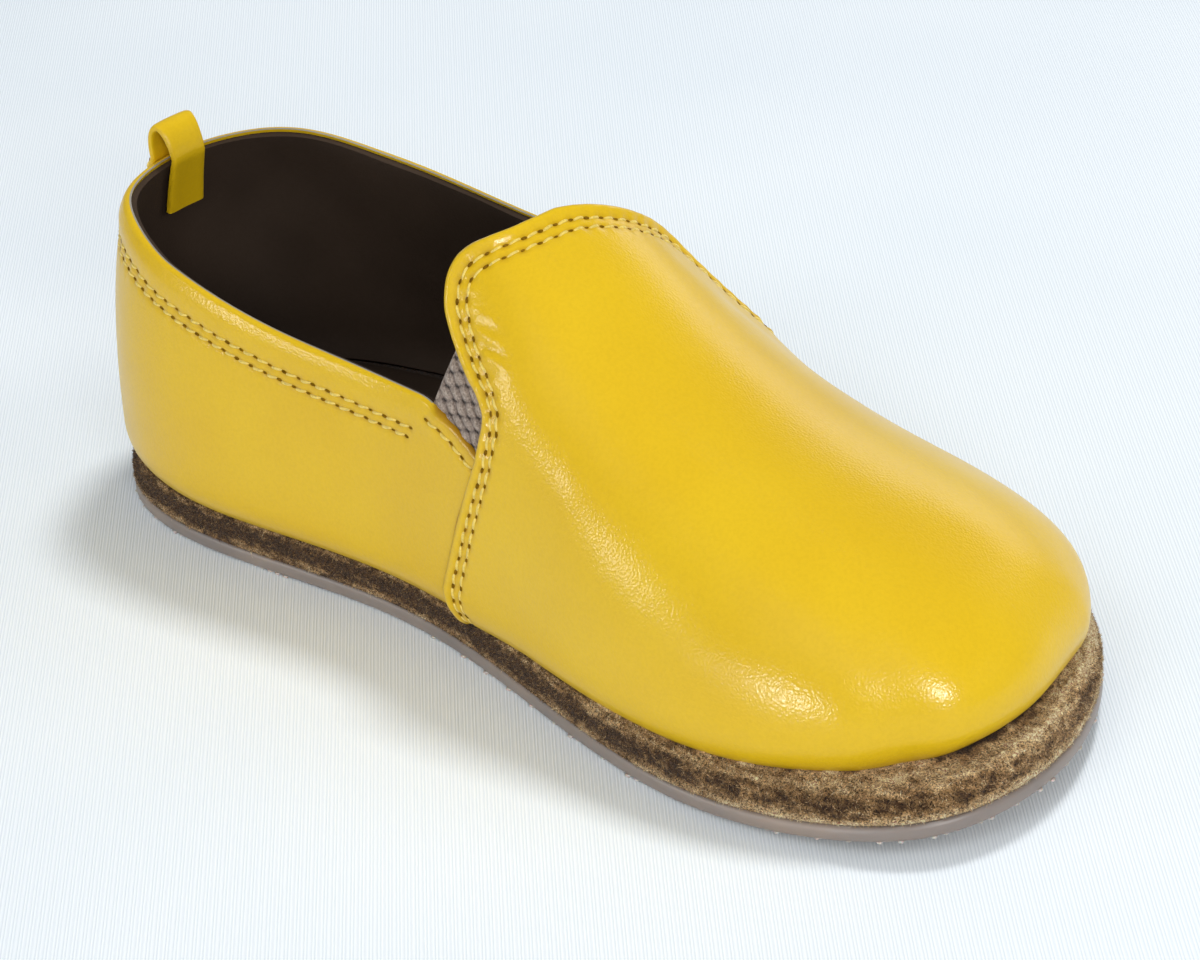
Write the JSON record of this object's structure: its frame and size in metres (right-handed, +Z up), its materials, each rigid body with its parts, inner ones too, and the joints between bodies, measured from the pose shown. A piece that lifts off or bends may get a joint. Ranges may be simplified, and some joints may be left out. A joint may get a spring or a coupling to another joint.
{
  "type": "child's slip-on loafer",
  "caption": "left slip-on loafer for a child, leather vamp with a tongue over the instep, elastic side gussets, suede midsole and thin rubber outsole",
  "frame": {"origin": "under the middle of the sole's box, on the plane it stands on", "axes": "+X to the toe, +Y to the outer side of the foot, +Z up"},
  "size_m": [0.1746, 0.0747, 0.0629],
  "materials": {
    "rubber": "translucent grey-brown sheet, satin, with fine raised dots underneath",
    "suede": "fuzzy brown split leather",
    "insole_leather": "plain dark brown lining leather",
    "leather": "mustard yellow, semi-gloss, fine pebble grain, double stitching in the same yellow",
    "elastic": "ribbed grey-beige knit",
    "tab_leather": "mustard yellow, semi-gloss"
  },
  "bodies": {
    "root": {"outsole": "rubber", "midsole": "suede", "insole": "insole_leather", "upper": "leather", "gusset_inner": "elastic", "gusset_outer": "elastic", "heel_pull_tab": "tab_leather"}
  },
  "joints": []
}
